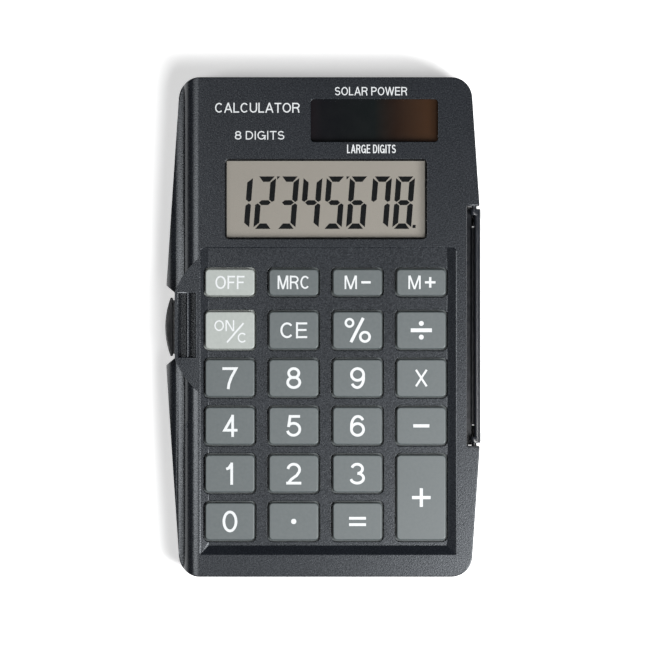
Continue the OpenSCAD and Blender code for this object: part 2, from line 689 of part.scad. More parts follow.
module key_8() { key(1, row_y(3), hole_l, grey); }
module key_9() { key(2, row_y(3), hole_l, grey); }
module key_times() { key(3, row_y(3), hole_l, grey); }
module key_4() { key(0, row_y(2), hole_l, grey); }
module key_5() { key(1, row_y(2), hole_l, grey); }
module key_6() { key(2, row_y(2), hole_l, grey); }
module key_minus() { key(3, row_y(2), hole_l, grey); }
module key_1() { key(0, row_y(1), hole_l, grey); }
module key_2() { key(1, row_y(1), hole_l, grey); }
module key_3() { key(2, row_y(1), hole_l, grey); }
module key_plus() { key(3, (row_y(0) + row_y(1)) / 2, hole_l + pitch_y, grey); }
module key_0() { key(0, row_y(0), hole_l, grey); }
module key_point() { key(1, row_y(0), hole_l, grey); }
module key_equals() { key(2, row_y(0), hole_l, grey); }

front_housing();
rear_housing();
cover();
hinge_spine();
display_window();
solar_window();
lcd_polariser();
lcd_glass();
lcd_reflector();
zebra_strip();
solar_cell();
solar_wire_red();
solar_wire_black();
circuit_board();
chip_blob();
capacitor();
clamp_diode();
rubber_keypad();
button_cell();
contact_plus();
contact_minus();
battery_door();
battery_door_screw();
case_screw(0);  // case_screw_1
case_screw(1);  // case_screw_2
case_screw(2);  // case_screw_3
case_screw(3);  // case_screw_4
board_screw(0);  // board_screw_1
board_screw(1);  // board_screw_2
board_screw(2);  // board_screw_3
board_screw(3);  // board_screw_4
board_screw(4);  // board_screw_5
key_off();
key_mrc();
key_m_minus();
key_m_plus();
key_on_c();
key_ce();
key_percent();
key_divide();
key_7();
key_8();
key_9();
key_times();
key_4();
key_5();
key_6();
key_minus();
key_1();
key_2();
key_3();
key_plus();
key_0();
key_point();
key_equals();
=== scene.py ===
import json
import math

import bmesh
import bpy
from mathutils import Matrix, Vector
from mathutils.bvhtree import BVHTree

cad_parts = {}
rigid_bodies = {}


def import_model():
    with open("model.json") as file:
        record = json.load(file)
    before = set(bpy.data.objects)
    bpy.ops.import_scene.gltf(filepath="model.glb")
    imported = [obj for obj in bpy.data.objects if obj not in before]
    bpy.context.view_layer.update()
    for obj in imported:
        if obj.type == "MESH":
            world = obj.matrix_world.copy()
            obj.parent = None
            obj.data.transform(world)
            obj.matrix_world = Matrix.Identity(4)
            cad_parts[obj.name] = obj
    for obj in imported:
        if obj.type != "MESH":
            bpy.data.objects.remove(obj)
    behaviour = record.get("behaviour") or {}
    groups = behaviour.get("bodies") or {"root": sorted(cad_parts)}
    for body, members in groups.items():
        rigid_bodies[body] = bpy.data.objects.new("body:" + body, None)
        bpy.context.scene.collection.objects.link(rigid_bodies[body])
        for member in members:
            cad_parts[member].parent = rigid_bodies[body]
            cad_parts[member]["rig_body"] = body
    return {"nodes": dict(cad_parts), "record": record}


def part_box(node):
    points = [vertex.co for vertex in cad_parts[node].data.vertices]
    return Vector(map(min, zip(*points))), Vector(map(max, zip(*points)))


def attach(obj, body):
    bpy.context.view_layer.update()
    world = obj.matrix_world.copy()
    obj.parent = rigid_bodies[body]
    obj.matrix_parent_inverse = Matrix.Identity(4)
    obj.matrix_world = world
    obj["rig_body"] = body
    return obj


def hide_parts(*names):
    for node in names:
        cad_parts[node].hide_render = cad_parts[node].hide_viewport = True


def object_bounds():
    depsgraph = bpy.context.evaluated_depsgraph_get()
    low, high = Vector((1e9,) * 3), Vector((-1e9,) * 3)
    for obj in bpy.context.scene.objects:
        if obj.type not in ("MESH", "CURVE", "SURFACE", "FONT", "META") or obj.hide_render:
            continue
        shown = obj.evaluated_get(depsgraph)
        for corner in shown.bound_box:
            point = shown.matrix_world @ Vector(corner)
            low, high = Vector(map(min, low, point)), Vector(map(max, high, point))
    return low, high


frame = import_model()
cad_lo, cad_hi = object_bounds()
nodes = frame["nodes"]
MM = 0.001
MERGE = 2e-6  # vertices closer than this are one
LEVEL = 0.05 * MM  # heights closer than this are the same

# ---------------------------------------------------------------- materials


def link(tree, a, b):
    tree.links.new(a, b)


def object_noise(tree, scale, detail=2.0, stretch=(1, 1, 1)):
    """Noise fixed to the piece, so it moves with it; returns its 0-1 output."""
    coords = tree.nodes.new("ShaderNodeTexCoord")
    mapping = tree.nodes.new("ShaderNodeMapping")
    mapping.inputs["Scale"].default_value = stretch
    noise = tree.nodes.new("ShaderNodeTexNoise")
    noise.inputs["Scale"].default_value = scale
    noise.inputs["Detail"].default_value = detail
    link(tree, coords.outputs["Object"], mapping.inputs["Vector"])
    link(tree, mapping.outputs["Vector"], noise.inputs["Vector"])
    return noise.outputs["Fac"]


def spread(tree, source, low, high, at=(0.3, 0.7)):
    """The noise value stretched over low to high."""
    node = tree.nodes.new("ShaderNodeMapRange")
    node.inputs["From Min"].default_value = at[0]
    node.inputs["From Max"].default_value = at[1]
    node.inputs["To Min"].default_value = low
    node.inputs["To Max"].default_value = high
    link(tree, source, node.inputs["Value"])
    return node.outputs["Result"]


def two_tone(tree, source, dark, light, at=(0.3, 0.7)):
    """Colour between dark and light, by the noise value."""
    ramp = tree.nodes.new("ShaderNodeValToRGB")
    ramp.color_ramp.elements[0].position = at[0]
    ramp.color_ramp.elements[1].position = at[1]
    ramp.color_ramp.elements[0].color = (*dark, 1)
    ramp.color_ramp.elements[1].color = (*light, 1)
    link(tree, source, ramp.inputs["Fac"])
    return ramp.outputs["Color"]


def add_bump(tree, shader, source, depth_mm, strength):
    bump = tree.nodes.new("ShaderNodeBump")
    bump.inputs["Distance"].default_value = depth_mm * MM
    bump.inputs["Strength"].default_value = strength
    link(tree, source, bump.inputs["Height"])
    link(tree, bump.outputs["Normal"], shader.inputs["Normal"])


def blank(name):
    mat = bpy.data.materials.new(name)
    mat.use_nodes = True
    shader = next(n for n in mat.node_tree.nodes if n.type == "BSDF_PRINCIPLED")
    return mat, mat.node_tree, shader


CLOUD = 90  # scale of the broad unevenness under every grain
FINE_SHARE, BROAD_SHARE = 0.75, 0.25


def grained(name, dark, light, rough, grain, depth_mm, strength, sockets):
    """Moulded or painted surface: speckled colour, uneven roughness and a fine grain."""
    mat, tree, shader = blank(name)
    fine = object_noise(tree, grain, 2.0)
    broad = object_noise(tree, CLOUD, 3.0)
    both = tree.nodes.new("ShaderNodeMath")
    both.operation = "MULTIPLY_ADD"
    both.inputs[1].default_value = FINE_SHARE
    weight = tree.nodes.new("ShaderNodeMath")
    weight.operation = "MULTIPLY"
    weight.inputs[1].default_value = BROAD_SHARE
    link(tree, broad, weight.inputs[0])
    link(tree, fine, both.inputs[0])
    link(tree, weight.outputs[0], both.inputs[2])
    link(tree, two_tone(tree, both.outputs[0], dark, light), shader.inputs["Base Color"])
    link(tree, spread(tree, fine, *rough), shader.inputs["Roughness"])
    add_bump(tree, shader, fine, depth_mm, strength)
    for socket, value in sockets.items():
        shader.inputs[socket].default_value = value
    return mat


def clear_pane():
    mat, tree, shader = blank("clear_pane")
    haze = object_noise(tree, 220, 2.0)
    link(tree, spread(tree, haze, 0.02, 0.05), shader.inputs["Roughness"])
    colour = two_tone(tree, haze, (0.02, 0.022, 0.024), (0.03, 0.032, 0.033))
    link(tree, colour, shader.inputs["Base Color"])
    shader.inputs["Alpha"].default_value = 0.08
    shader.inputs["IOR"].default_value = 1.49
    return mat


def solar_material(lo, hi):
    """Amorphous cell, dark; its colour runs from black on the left to warm brown on the right, a
    painted reflection across the cell.
    """
    mat, tree, shader = blank("solar_cell")
    coords = tree.nodes.new("ShaderNodeTexCoord")
    split = tree.nodes.new("ShaderNodeSeparateXYZ")
    link(tree, coords.outputs["Object"], split.inputs["Vector"])
    along = tree.nodes.new("ShaderNodeMapRange")
    along.inputs["From Min"].default_value = lo.x
    along.inputs["From Max"].default_value = hi.x
    link(tree, split.outputs["X"], along.inputs["Value"])
    ramp = tree.nodes.new("ShaderNodeValToRGB")
    painted_reflection_stops = [
        (0.0, (0.010, 0.006, 0.008)),
        (0.12, (0.0035, 0.0035, 0.005)),
        (0.5, (0.004, 0.006, 0.006)),
        (0.66, (0.018, 0.008, 0.004)),
        (1.0, (0.060, 0.026, 0.010)),
    ]
    elements = ramp.color_ramp.elements
    elements[0].position, elements[0].color = painted_reflection_stops[0][0], (*painted_reflection_stops[0][1], 1)
    elements[1].position, elements[1].color = painted_reflection_stops[-1][0], (*painted_reflection_stops[-1][1], 1)
    for place, colour in painted_reflection_stops[1:-1]:
        elements.new(place).color = (*colour, 1)
    link(tree, along.outputs["Result"], ramp.inputs["Fac"])
    link(tree, ramp.outputs["Color"], shader.inputs["Base Color"])
    film = object_noise(tree, 500, 3.0)
    link(tree, spread(tree, film, 0.10, 0.14), shader.inputs["Roughness"])
    add_bump(tree, shader, film, 0.004, 0.3)
    return mat


# darkest and lightest colour, roughness range, then the grain's scale, depth in mm and strength
SURFACES = {
    "housing": ((0.0045, 0.0055, 0.0075), (0.012, 0.014, 0.018), (0.22, 0.30), 3000, 0.03, 0.6),
    "cover_gloss": ((0.012, 0.014, 0.018), (0.018, 0.020, 0.025), (0.16, 0.22), 700, 0.006, 0.25),
    "key_grey": ((0.068, 0.082, 0.085), (0.080, 0.094, 0.097), (0.36, 0.44), 1500, 0.008, 0.4),
    "key_pale": ((0.285, 0.308, 0.293), (0.315, 0.339, 0.323), (0.36, 0.44), 1500, 0.008, 0.4),
    "print_white": ((0.52, 0.54, 0.55), (0.60, 0.62, 0.63), (0.45, 0.6), 2500, 0.004, 0.3),
    "lcd_face": ((0.265, 0.246, 0.212), (0.289, 0.267, 0.231), (0.5, 0.6), 4000, 0.003, 0.3),
    "lcd_ink": ((0.003, 0.0035, 0.004), (0.006, 0.007, 0.007), (0.12, 0.16), 2000, 0.002, 0.2),
    "lcd_glass": ((0.42, 0.45, 0.43), (0.50, 0.53, 0.50), (0.05, 0.12), 300, 0.002, 0.2),
    "lcd_reflector": ((0.45, 0.46, 0.44), (0.6, 0.61, 0.58), (0.3, 0.4), 900, 0.01, 0.4),
    "zebra": ((0.12, 0.07, 0.08), (0.24, 0.15, 0.15), (0.6, 0.75), 1200, 0.02, 0.6),
    "wire_red": ((0.42, 0.02, 0.015), (0.55, 0.04, 0.03), (0.35, 0.5), 1500, 0.01, 0.6),
    "wire_black": ((0.012, 0.012, 0.013), (0.03, 0.03, 0.03), (0.35, 0.5), 1500, 0.01, 0.6),
    "board": ((0.012, 0.10, 0.035), (0.03, 0.17, 0.06), (0.35, 0.5), 1800, 0.02, 0.6),
    "epoxy": ((0.006, 0.006, 0.006), (0.014, 0.014, 0.014), (0.2, 0.35), 400, 0.03, 0.6),
    "capacitor": ((0.015, 0.02, 0.08), (0.03, 0.035, 0.12), (0.25, 0.35), 900, 0.01, 0.6),
    "diode": ((0.45, 0.12, 0.03), (0.6, 0.2, 0.05), (0.12, 0.25), 900, 0.01, 0.6),
    # silicone is painted shade: darkened near black so that the gaps round the keys show dark
    "silicone": ((0.020, 0.020, 0.022), (0.030, 0.030, 0.032), (0.55, 0.7), 1500, 0.02, 0.6),
    "steel": ((0.42, 0.42, 0.43), (0.62, 0.62, 0.62), (0.22, 0.4), 1800, 0.008, 0.6),
    "contact": ((0.62, 0.50, 0.22), (0.78, 0.66, 0.34), (0.22, 0.38), 1800, 0.008, 0.6),
    "screw": ((0.30, 0.30, 0.31), (0.5, 0.5, 0.5), (0.25, 0.45), 2400, 0.012, 0.6),
}
METAL = {"Metallic": 1.0}
SOCKETS = {
    "housing": {"Specular Tint": (0.90, 0.95, 1.0, 1)},
    "steel": METAL,
    "contact": METAL,
    "screw": METAL,
}
MATERIALS = {name: grained(name, *look, SOCKETS.get(name, {})) for name, look in SURFACES.items()}
MATERIALS["clear_pane"] = clear_pane()


def paint(obj, material):
    obj.data.materials.clear()
    obj.data.materials.append(material)


# ---------------------------------------------------------------- meshes


def add_piece(name, bm, material, body):
    mesh = bpy.data.meshes.new(name)
    bm.normal_update()
    bm.to_mesh(mesh)
    bm.free()
    obj = bpy.data.objects.new(name, mesh)
    bpy.context.scene.collection.objects.link(obj)
    paint(obj, material)
    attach(obj, body)
    return obj


FLAT_ANGLE = math.radians(0.3)  # triangles that meet at less are one flat face
CLEAR = 0.02 * MM  # a line of sight starts this far off the surface


def clean_copy(node):
    """The node's mesh with its seams joined and its triangles merged into flat faces."""
    bm = bmesh.new()
    bm.from_mesh(nodes[node].data)
    bmesh.ops.remove_doubles(bm, verts=bm.verts, dist=MERGE)
    bmesh.ops.dissolve_limit(bm, angle_limit=FLAT_ANGLE, verts=bm.verts, edges=bm.edges)
    bm.normal_update()
    return bm


def refined(node, name, slot, rule, width_mm, segments=3, sharp_deg=22):
    """Stands for the node: the same shape with its visible edges rounded.
    rule gives each convex edge its share of the width, from the edge's middle, the normals of its
    two faces and a test for an open line of sight."""
    body = nodes[node]["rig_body"]
    bm = clean_copy(node)
    tree = BVHTree.FromBMesh(bm)
    weight = bm.edges.layers.float.new("bevel_weight_edge")
    limit = math.radians(sharp_deg)

    def open_along(point, direction):
        """No part of this piece lies along that line."""
        return tree.ray_cast(point + direction * CLEAR, direction)[0] is None

    for e in bm.edges:
        if len(e.link_faces) != 2:
            continue
        angle = e.calc_face_angle_signed(0)
        if angle > limit:
            middle = (e.verts[0].co + e.verts[1].co) / 2
            n1, n2 = (f.normal for f in e.link_faces)
            e[weight] = rule(middle, n1, n2, open_along)
        if e[weight] == 0 and abs(angle) > limit:
            e.smooth = False
    for f in bm.faces:
        f.smooth = True
    obj = add_piece(name, bm, MATERIALS[slot], body)
    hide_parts(node)
    round_off = obj.modifiers.new("edges", "BEVEL")
    round_off.limit_method = "WEIGHT"
    round_off.width = width_mm * MM
    round_off.segments = segments
    round_off.use_clamp_overlap = False
    round_off.loop_slide = False
    round_off.miter_outer = "MITER_ARC"
    flat = obj.modifiers.new("normals", "WEIGHTED_NORMAL")
    flat.keep_sharp = True
    return obj


# ---------------------------------------------------------------- housings

front_lo, front_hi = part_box("front_housing")
rear_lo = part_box("rear_housing")[0]
key_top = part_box("key_7")[1].z
face_z = front_hi.z
part_z = front_lo.z
pane_lo, pane_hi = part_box("display_window")
sun_lo, sun_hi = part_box("solar_window")

face_points = [v.co for v in nodes["front_housing"].data.vertices if v.co.z > face_z - MERGE]
BOSS_ZONE = 0.4  # of the half length; beyond this the face has no latch boss
step_x = min(p.x for p in face_points if abs(p.y) > BOSS_ZONE * front_hi.y)

PARTING, FINE, RIM, FULL = 0.2, 0.4, 0.8, 1.0  # shares of a piece's bevel width
WELL, SIDE = 0.3, 0.5  # shares on the back shell
END_ZONE = 0.9  # of the half length; beyond this an edge is on an end
SIDEWAYS = 0.3  # level part of the normal of an edge that faces outward
SHALLOW = math.radians(40)
UP = Vector((0, 0, 0.1 * MM))


def inside(p, lo, hi):
    return lo.x < p.x < hi.x and lo.y < p.y < hi.y


def faces_out(p, level, open_along):
    return level.length > SIDEWAYS and open_along(p, level.normalized())


def front_rule(p, n1, n2, open_along):
    n = (n1 + n2).normalized()
    level = Vector((n.x, n.y, 0))
    if p.z < part_z + LEVEL:
        return PARTING if faces_out(p + UP, level, open_along) else 0
    if n.z < -0.2 or not open_along(p, n):
        return 0
    if abs(p.y) > END_ZONE * front_hi.y and faces_out(p, level, open_along):
        return RIM  # one width along the whole end, face and roll-off alike
    if p.x < step_x - 0.02 * MM and (level.length < SIDEWAYS or open_along(p, level.normalized())):
        return 0  # the boss runs out into the roll-off there
    if inside(p, pane_lo, pane_hi) or inside(p, sun_lo, sun_hi):
        return FINE if p.z > face_z - 2 * LEVEL else 0
    return RIM if p.z > face_z - LEVEL and n1.angle(n2) >= SHALLOW else FINE


def rear_rule(p, n1, n2, open_along):
    n = (n1 + n2).normalized()
    level = Vector((n.x, n.y, 0))
    if n.z > 0.2:
        at_parting = abs(p.z - part_z) < LEVEL
        return PARTING if at_parting and faces_out(p - UP, level, open_along) else 0
    if not open_along(p, n):
        return 0
    if p.z < rear_lo.z + LEVEL:
        return FULL if faces_out(p + UP, level, open_along) else WELL
    return SIDE


def open_rule(share):
    def rule(p, n1, n2, open_along):
        return share if open_along(p, (n1 + n2).normalized()) else 0

    return rule


refined("front_housing", "front_moulding", "housing", front_rule, 0.35)
refined("rear_housing", "rear_moulding", "housing", rear_rule, 0.45)
refined("battery_door", "battery_hatch", "housing", open_rule(FULL), 0.15)
refined("cover", "flip_lid", "cover_gloss", open_rule(FULL), 0.25, sharp_deg=40)
refined("hinge_spine", "spine_strip", "cover_gloss", open_rule(FULL), 0.12, sharp_deg=40)

# The rib below is painted shade: a dark piece that makes the slit by the strip look dark.
SPINE_WALL = 1.5  # mm, thickness of the strip between body and cover
RIB_OUT, RIB_TALL, RIB_RAISED = 0.58, 0.8, 1.0  # mm; raised over the strip's middle
RIB_ROOT = 0.05  # mm, how far the rib runs into the strip
RIB_LENGTH = 0.77  # of the strip's


def spine_rib():
    """Thin dark rib inside the strip, painted shade: it closes the slit between the strip and the
    cover's edge, so the slit shows dark.
    """
    lo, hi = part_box("hinge_spine")
    wall = hi.x - SPINE_WALL * MM
    middle = (lo + hi) / 2 + Vector((0, 0, RIB_RAISED * MM))
    middle.x = wall - RIB_OUT / 2 * MM + RIB_ROOT * MM
    size = Vector(((RIB_OUT + 2 * RIB_ROOT) * MM, RIB_LENGTH * (hi.y - lo.y), RIB_TALL * MM))
    bm = bmesh.new()
    bmesh.ops.create_cube(bm, size=1)
    for v in bm.verts:
        v.co = middle + Vector([a * b for a, b in zip(v.co, size)])
    bmesh.ops.bevel(bm, geom=bm.edges, offset=0.1 * MM, segments=2, affect="EDGES", profile=0.5)
    body = nodes["hinge_spine"]["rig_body"]
    add_piece("spine_rib", bm, MATERIALS["cover_gloss"], body)


spine_rib()

# ---------------------------------------------------------------- print


def prism(bm, points, z0, z1):
    """Closed prism on a flat outline that runs anticlockwise."""
    low = [bm.verts.new((x, y, z0)) for x, y in points]
    high = [bm.verts.new((x, y, z1)) for x, y in points]
    count = len(points)
    for i in range(count):
        j = (i + 1) % count
        bm.faces.new((low[i], low[j], high[j], high[i]))
    bm.faces.new(high)
    bm.faces.new(low[::-1])


def ring(bm, x, y, outer, inner, z0, z1, steps=40):
    """Closed flat ring; inner 0 gives a disc."""
    turn = [2 * math.pi * i / steps for i in range(steps)]
    if inner <= 0:
        prism(bm, [(x + outer * math.cos(a), y + outer * math.sin(a)) for a in turn], z0, z1)
        return
    loops = [
        [bm.verts.new((x + r * math.cos(a), y + r * math.sin(a), z)) for a in turn]
        for r, z in ((outer, z0), (outer, z1), (inner, z1), (inner, z0))
    ]
    for k in range(4):
        a, b = loops[k], loops[(k + 1) % 4]
        for i in range(steps):
            j = (i + 1) % steps
            bm.faces.new((a[i], a[j], b[j], b[i]))


def bar(x0, y0, x1, y1, width):
    """Outline of a straight stroke, anticlockwise."""
    d = Vector((x1 - x0, y1 - y0)).normalized() * (width / 2)
    n = Vector((-d.y, d.x))
    return [(x0 - n.x, y0 - n.y), (x1 - n.x, y1 - n.y), (x1 + n.x, y1 + n.y), (x0 + n.x, y0 + n.y)]


INK_RISE = 0.03 * MM
INK_SINK = 0.02 * MM
INK_STEP = 0.002 * MM  # strokes that cross lie at different heights


def arc(cx, cy, rx, ry, start, end, steps=16):
    """Points on part of an ellipse, angles in degrees."""
    turn = [math.radians(start + (end - start) * i / steps) for i in range(steps + 1)]
    return [(cx + rx * math.cos(t), cy + ry * math.sin(t)) for t in turn]


# Letters as centre lines in a unit square; U and V carry a stroke's end out to the letter's edge.
U, V = 0.12, 0.085
STEM = [(0, -V), (0, 1 + V)]
SIX = [arc(0.5, 0.31, 0.5, 0.31, 0, 360, 28), arc(0.53, 0.5, 0.53, 0.5, 38, 180) + [(0, 0.31)]]
GLYPHS = {  # width over height, strokes
    "0": (0.69, [arc(0.5, 0.5, 0.5, 0.5, 0, 360, 32)]),
    "1": (0.40, [[(0.8, -V), (0.8, 1 + V)], [(-0.15, 0.74), (0.3, 0.79), (0.7, 0.98)]]),
    "2": (0.69, [arc(0.5, 0.71, 0.48, 0.29, 172, -28) + [(0.75, 0.41), (0.3, 0.2), (0.06, 0)],
        [(-U, 0), (1 + U, 0)]]),
    "3": (0.69, [arc(0.47, 0.755, 0.44, 0.245, 165, -85), arc(0.47, 0.26, 0.53, 0.26, 88, -168)]),
    "4": (0.70, [[(0.72, -V), (0.72, 1 + V)], [(0.74, 1.03), (0.06, 0.27), (1 + U, 0.27)]]),
    "5": (0.69, [[(0.9 + U, 1), (0.2, 1), (0.07, 0.44)], arc(0.48, 0.32, 0.52, 0.32, 146, -165)]),
    "6": (0.69, SIX),
    "7": (0.68, [[(-U, 1), (1, 1), (0.62, 0.55), (0.42, 0.2), (0.36, -V)]]),
    "8": (0.69, [arc(0.5, 0.76, 0.42, 0.24, 0, 360, 28), arc(0.5, 0.27, 0.5, 0.27, 0, 360, 28)]),
    "9": (0.69, [[(1 - x, 1 - y) for x, y in line] for line in SIX]),
    "A": (0.78, [[(-0.04, -V), (0.5, 1 + V)], [(1.04, -V), (0.5, 1 + V)],
        [(0.2, 0.3), (0.8, 0.3)]]),
    "C": (0.80, [arc(0.5, 0.5, 0.5, 0.5, 42, 318, 26)]),
    "D": (0.76, [[(0, 0), (0, 1), (0.4, 1)] + arc(0.4, 0.5, 0.6, 0.5, 85, -85)
        + [(0.4, 0), (0, 0)]]),
    "E": (0.66, [STEM, [(0, 1), (1 + U, 1)], [(0, 0.52), (0.92 + U, 0.52)], [(0, 0), (1 + U, 0)]]),
    "F": (0.62, [STEM, [(0, 1), (1 + U, 1)], [(0, 0.5), (0.85 + U, 0.5)]]),
    "G": (0.84, [arc(0.5, 0.5, 0.5, 0.5, 42, 335, 26), [(0.55, 0.46), (1 + U, 0.46)],
        [(1, 0.5), (1, -V)]]),
    "I": (0.20, [[(0.5, -V), (0.5, 1 + V)]]),
    "L": (0.58, [STEM, [(0, 0), (1 + U, 0)]]),
    "M": (0.90, [STEM, [(1, -V), (1, 1 + V)], [(0.05, 1 + V), (0.5, -V)],
        [(0.95, 1 + V), (0.5, -V)]]),
    "N": (0.76, [STEM, [(1, -V), (1, 1 + V)], [(0.06, 1 + V), (0.94, -V)]]),
    "O": (0.84, [arc(0.5, 0.5, 0.5, 0.5, 0, 360, 32)]),
    "P": (0.70, [STEM, [(0, 1), (0.55, 1)] + arc(0.55, 0.74, 0.45, 0.26, 85, -85)
        + [(0.55, 0.48), (0, 0.48)]]),
    "R": (0.76, [STEM, [(0, 1), (0.55, 1)] + arc(0.55, 0.75, 0.42, 0.25, 85, -85)
        + [(0.55, 0.5), (0, 0.5)], [(0.58, 0.5), (0.85, 0.3), (0.95, -V)]]),
    "S": (0.70, [arc(0.5, 0.75, 0.45, 0.25, 25, 255) + arc(0.5, 0.26, 0.5, 0.26, 75, -160)]),
    "T": (0.68, [[(-U, 1), (1 + U, 1)], [(0.5, 1), (0.5, -V)]]),
    "U": (0.74, [[(0, 1 + V), (0, 0.35)] + arc(0.5, 0.35, 0.5, 0.35, 190, 350)
        + [(1, 0.35), (1, 1 + V)]]),
    "W": (1.10, [[(-0.04, 1 + V), (0.24, -V)], [(0.24, -V), (0.5, 1 + V)],
        [(0.5, 1 + V), (0.76, -V)], [(0.76, -V), (1.04, 1 + V)]]),
    "X": (0.72, [[(-0.02, -V), (1.02, 1 + V)], [(1.02, -V), (-0.02, 1 + V)]]),
    " ": (0.20, []),
}


SHARPEST = 0.45  # cosine of half the sharpest turn whose corner is drawn to its point


def ribbon(bm, points, width, z0, z1):
    """Closed flat band along a line; the line is a loop if it ends where it starts."""
    pts = [Vector(p) for p in points]
    loop = (pts[0] - pts[-1]).length < 1e-9
    if loop:
        pts.pop()
    count = len(pts)
    sides = []
    for i, p in enumerate(pts):
        before = pts[i - 1] if loop or i else None
        after = pts[(i + 1) % count] if loop or i < count - 1 else None
        d1 = (p - before).normalized() if before is not None else (after - p).normalized()
        d2 = (after - p).normalized() if after is not None else d1
        middle = (d1 + d2).normalized()
        reach = width / 2 / max(middle.dot(d1), SHARPEST)
        n = Vector((-middle.y, middle.x)) * reach
        corners = ((p + n, z0), (p + n, z1), (p - n, z1), (p - n, z0))
        sides.append([bm.verts.new((q.x, q.y, z)) for q, z in corners])
    for i in range(count if loop else count - 1):
        a, b = sides[i], sides[(i + 1) % count]
        for k in range(4):
            m = (k + 1) % 4
            bm.faces.new((a[k], a[m], b[m], b[k]))
    if not loop:
        bm.faces.new(sides[0][::-1])
        bm.faces.new(sides[-1])


LETTER_GAP = 0.13  # between two letters, over the capital height
WEIGHT = 0.125  # stroke width over the capital height


def lettering(bm, text, x, y, z, height, width, weight=WEIGHT):
    """Adds raised letters centred on x, y.
    height is that of the capitals, width that of the whole line."""
    natural = sum(GLYPHS[c][0] for c in text) + LETTER_GAP * (len(text) - 1)
    squeeze = width / height / natural
    stroke = weight * height
    left = x - width / 2 + stroke / 2
    low = y - height / 2 + stroke / 2
    for c in text:
        share, lines = GLYPHS[c]
        wide = share * squeeze * height
        for k, line in enumerate(lines):
            spots = [(left + px * (wide - stroke), low + py * (height - stroke)) for px, py in line]
            ribbon(bm, spots, stroke, z - INK_SINK - k * INK_STEP, z + INK_RISE + k * INK_STEP)
        left += wide + LETTER_GAP * squeeze * height


# ---------------------------------------------------------------- keys


def key_rule(p, n1, n2, open_along):
    return FULL if p.z > key_top - LEVEL else 0


KEY_LETTERS = {  # text, capital height, width, in mm
    "off": ("OFF", 3.1, 6.9),
    "mrc": ("MRC", 3.1, 7.6),
    "ce": ("CE", 3.7, 6.3),
    "times": ("X", 3.8, 2.9),
    **{str(d): (str(d), 5.1, 2.0 if d == 1 else 3.5) for d in range(10)},
}


def key_marks(bm, what, x, y, z):
    """Raised white legend of one key. Places and sizes are in mm from the key's middle."""
    z0, z1 = z - INK_SINK, z + INK_RISE

    def stroke(x0, y0, x1, y1, width):
        prism(bm, [(x + a * MM, y + b * MM) for a, b in bar(x0, y0, x1, y1, width)], z0, z1)

    def dot(a, b, r, inner=0.0):
        ring(bm, x + a * MM, y + b * MM, r * MM, inner * MM, z0, z1)

    def cross(cx, arm, width):
        h = width / 2
        corners = [(-h, -arm), (h, -arm), (h, -h), (arm, -h), (arm, h), (h, h)]
        corners += [(h, arm), (-h, arm), (-h, h), (-arm, h), (-arm, -h), (-h, -h)]
        prism(bm, [(x + (cx + a) * MM, y + b * MM) for a, b in corners], z0, z1)

    if what in KEY_LETTERS:
        text, height, width = KEY_LETTERS[what]
        lettering(bm, text, x, y, z, height * MM, width * MM)
    elif what in ("m_minus", "m_plus"):
        lettering(bm, "M", x - 1.6 * MM, y, z, 3.1 * MM, 2.9 * MM)
        if what == "m_plus":
            cross(2.1, 1.25, 0.55)
        else:
            stroke(0.9, 0, 3.1, 0, 0.55)
    elif what == "on_c":
        lettering(bm, "ON", x - 1.35 * MM, y + 1.1 * MM, z, 2.55 * MM, 4.7 * MM, 0.13)
        lettering(bm, "C", x + 2.9 * MM, y - 1.75 * MM, z, 2.35 * MM, 2.2 * MM, 0.14)
        stroke(-0.7, -2.85, 3.2, 1.7, 0.42)
    elif what == "percent":
        dot(-1.9, 1.75, 1.15, 0.62)
        dot(1.75, -1.55, 1.4, 0.8)
        stroke(-1.55, -2.8, 1.35, 2.9, 0.72)
    elif what == "divide":
        stroke(-2.5, 0, 2.5, 0, 0.9)
        dot(0, 1.62, 0.58)
        dot(0, -1.62, 0.58)
    elif what == "minus":
        stroke(-1.9, 0, 1.9, 0, 0.75)
    elif what == "plus":
        cross(0, 2.2, 0.75)
    elif what == "point":
        dot(0, 0, 0.62)
    elif what == "equals":
        stroke(-2.0, 0.75, 2.0, 0.75, 0.65)
        stroke(-2.0, -0.75, 2.0, -0.75, 0.65)


KEY_BEVEL = 0.32  # mm
PALE_KEYS = ("off", "on_c")


def key(node):
    what = node[len("key_"):]
    slot = "key_pale" if what in PALE_KEYS else "key_grey"
    refined(node, node + "_cap", slot, key_rule, KEY_BEVEL, segments=4)
    lo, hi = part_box(node)
    bm = bmesh.new()
    key_marks(bm, what, (lo.x + hi.x) / 2, (lo.y + hi.y) / 2, hi.z)
    add_piece(node + "_legend", bm, MATERIALS["print_white"], nodes[node]["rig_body"])


for node in sorted(nodes):
    if node.startswith("key_"):
        key(node)

# ---------------------------------------------------------------- labels on the face

body_name = nodes["front_housing"]["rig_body"]
sun_mid = (sun_lo + sun_hi) / 2


def face_label(name, text, x, y, height, width):
    """Capital height and line width are in mm."""
    bm = bmesh.new()
    lettering(bm, text, x, y, face_z, height * MM, width * MM)
    add_piece(name, bm, MATERIALS["print_white"], body_name)


# Left of the solar window
face_label("label_name", "CALCULATOR", sun_lo.x - 11.6 * MM, sun_mid.y + 3.0 * MM, 2.3, 20.0)
face_label("label_digits", "8 DIGITS", sun_lo.x - 11.1 * MM, sun_mid.y - 3.5 * MM, 2.0, 11.7)
# Over it and under it
face_label("label_power", "SOLAR POWER", sun_mid.x - 0.8 * MM, sun_hi.y + 0.9 * MM, 1.95, 17.1)
face_label("label_display", "LARGE DIGITS", sun_mid.x - 0.7 * MM, sun_lo.y - 0.7 * MM, 2.0, 11.5)

# ---------------------------------------------------------------- display

